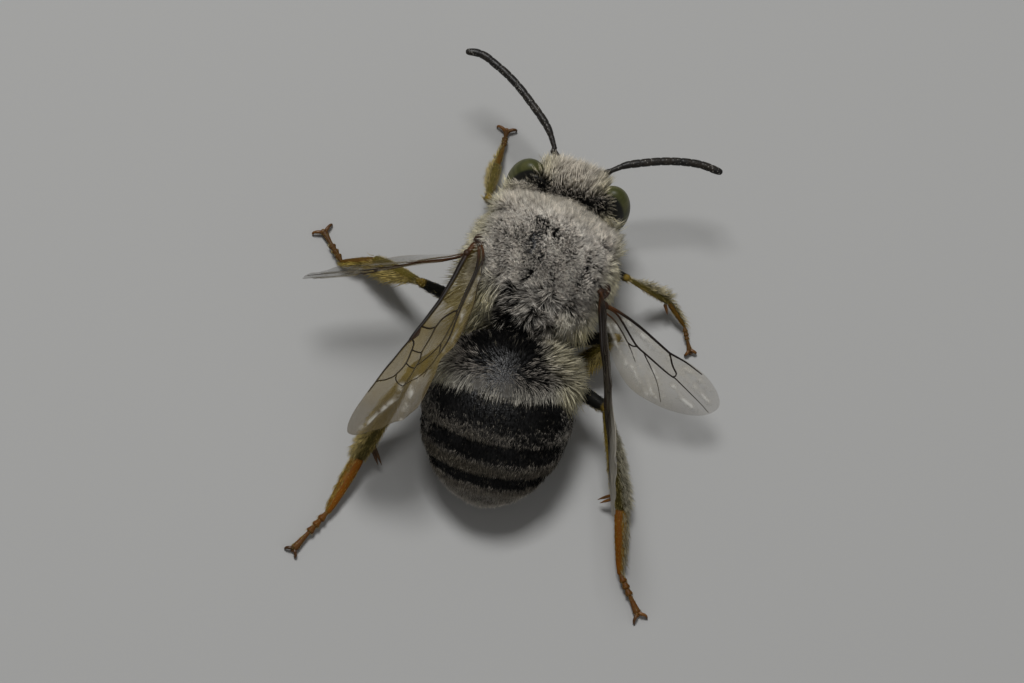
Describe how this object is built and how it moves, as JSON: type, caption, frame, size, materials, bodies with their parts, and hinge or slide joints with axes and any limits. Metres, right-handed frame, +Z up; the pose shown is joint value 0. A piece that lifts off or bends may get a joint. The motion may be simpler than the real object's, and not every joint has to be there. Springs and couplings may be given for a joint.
{
  "type": "digger bee",
  "caption": "Life-size still model of a grey hairy bee standing on its six feet, feelers forward, wings half spread.",
  "frame": {"origin": "middle of the model's box on the floor under the feet", "axes": "+Z up, head towards -Y, abdomen towards +Y, the bee's left side towards +X"},
  "size_m": [0.0208, 0.0244, 0.0087],
  "materials": {
    "grey_coat": "dense upright grey hair over black shell",
    "banded_coat": "black bands and short brown-grey flat hair",
    "eye": "smooth olive green with a dark rear rim",
    "black_shell": "polished black",
    "antenna": "satin black with pale dust",
    "olive_leg": "olive black under yellowish hair",
    "orange_leg": "orange-brown, satin",
    "wing_root": "dark red-brown, glossy",
    "wing": "clear brownish membrane with dark veins"
  },
  "bodies": {
    "root": {"head": "grey_coat", "thorax": "grey_coat", "eye_left": "eye", "mandible_left": "black_shell", "antenna_left_scape": "antenna", "antenna_left_flagellum": "antenna", "tegula_left": "wing_root", "forewing_left": "wing", "hindwing_left": "wing", "eye_right": "eye", "mandible_right": "black_shell", "antenna_right_scape": "antenna", "antenna_right_flagellum": "antenna", "tegula_right": "wing_root", "forewing_right": "wing", "hindwing_right": "wing", "abdomen_1": "grey_coat", "abdomen_2": "banded_coat", "abdomen_3": "banded_coat", "abdomen_4": "banded_coat", "abdomen_5": "banded_coat", "abdomen_6": "banded_coat", "foreleg_left_coxa": "black_shell", "foreleg_left_femur": "black_shell", "foreleg_left_tibia": "olive_leg", "foreleg_left_basitarsus": "orange_leg", "foreleg_left_tarsus": "orange_leg", "foreleg_right_coxa": "black_shell", "foreleg_right_femur": "black_shell", "foreleg_right_tibia": "olive_leg", "foreleg_right_basitarsus": "orange_leg", "foreleg_right_tarsus": "orange_leg", "midleg_left_coxa": "black_shell", "midleg_left_femur": "black_shell", "midleg_left_tibia": "olive_leg", "midleg_left_basitarsus": "orange_leg", "midleg_left_tarsus": "orange_leg", "midleg_right_coxa": "black_shell", "midleg_right_femur": "black_shell", "midleg_right_tibia": "olive_leg", "midleg_right_basitarsus": "orange_leg", "midleg_right_tarsus": "orange_leg", "hindleg_left_coxa": "black_shell", "hindleg_left_femur": "black_shell", "hindleg_left_tibia": "olive_leg", "hindleg_left_basitarsus": "orange_leg", "hindleg_left_tarsus": "orange_leg", "hindleg_right_coxa": "black_shell", "hindleg_right_femur": "black_shell", "hindleg_right_tibia": "olive_leg", "hindleg_right_basitarsus": "orange_leg", "hindleg_right_tarsus": "orange_leg"}
  },
  "joints": []
}
